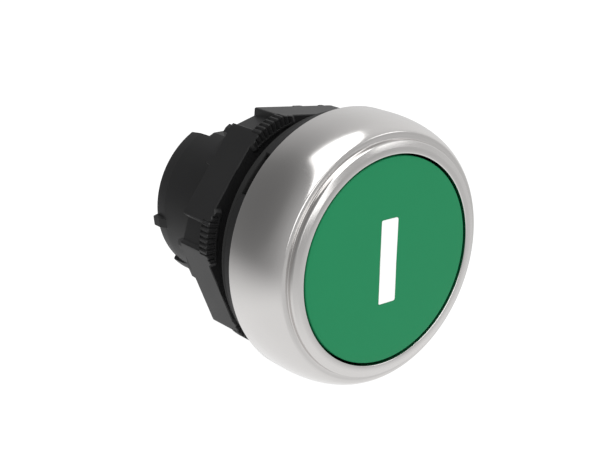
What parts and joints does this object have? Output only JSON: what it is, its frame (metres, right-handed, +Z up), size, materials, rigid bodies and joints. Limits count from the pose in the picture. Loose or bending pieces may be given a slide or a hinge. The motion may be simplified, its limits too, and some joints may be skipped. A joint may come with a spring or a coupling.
{
  "type": "push button actuator",
  "caption": "Panel-mounted momentary push button with a green flush cap in a satin metal bezel, a black threaded housing and a hexagonal fixing nut.",
  "frame": {"origin": "on the button's axis, in the plane of the gasket's rear face, where the panel's front face sits", "axes": "the button faces -Y, +Y runs along the axis behind the panel, +Z is up (the flat on the barrel is at the top), +X is to the right for someone facing the button"},
  "size_m": [0.0295, 0.0289, 0.0294],
  "materials": {
    "black_plastic": "satin moulded black plastic",
    "nut_plastic": "satin moulded black plastic",
    "inner_plastic": "plain moulded dark grey plastic",
    "pusher_plastic": "plain moulded light grey plastic",
    "satin_chrome": "satin chrome plated metal",
    "green_plastic": "satin green plastic",
    "white_plastic": "white inlaid plastic",
    "gasket_rubber": "moulded black rubber",
    "seal_rubber": "moulded black rubber",
    "spring_steel": "bright spring steel",
    "washer_steel": "zinc plated steel"
  },
  "bodies": {
    "body": {"housing": "black_plastic", "bezel_ring": "satin_chrome", "bezel_seal": "seal_rubber", "panel_gasket": "gasket_rubber", "diaphragm": "seal_rubber", "clamp_ring": "inner_plastic", "return_spring": "spring_steel", "spring_washer": "washer_steel"},
    "plunger": {"button_cap": "green_plastic", "on_mark": "white_plastic", "plunger_head": "inner_plastic", "rear_pusher": "pusher_plastic", "pusher_clip": "spring_steel"},
    "nut": {"fixing_nut": "nut_plastic"}
  },
  "joints": [
    {"name": "button_press", "type": "slide", "parent": "body", "child": "plunger", "axis": [0, 1, 0], "range_m": [0, 0.004], "stiffness_N_per_m": 900, "springref_m": -0.004, "deforming": ["return_spring", "diaphragm"]},
    {"name": "nut_turn", "type": "hinge", "parent": "body", "child": "nut", "pos_m": [0, 0.005, 0], "axis": [0, 1, 0], "continuous": true}
  ]
}
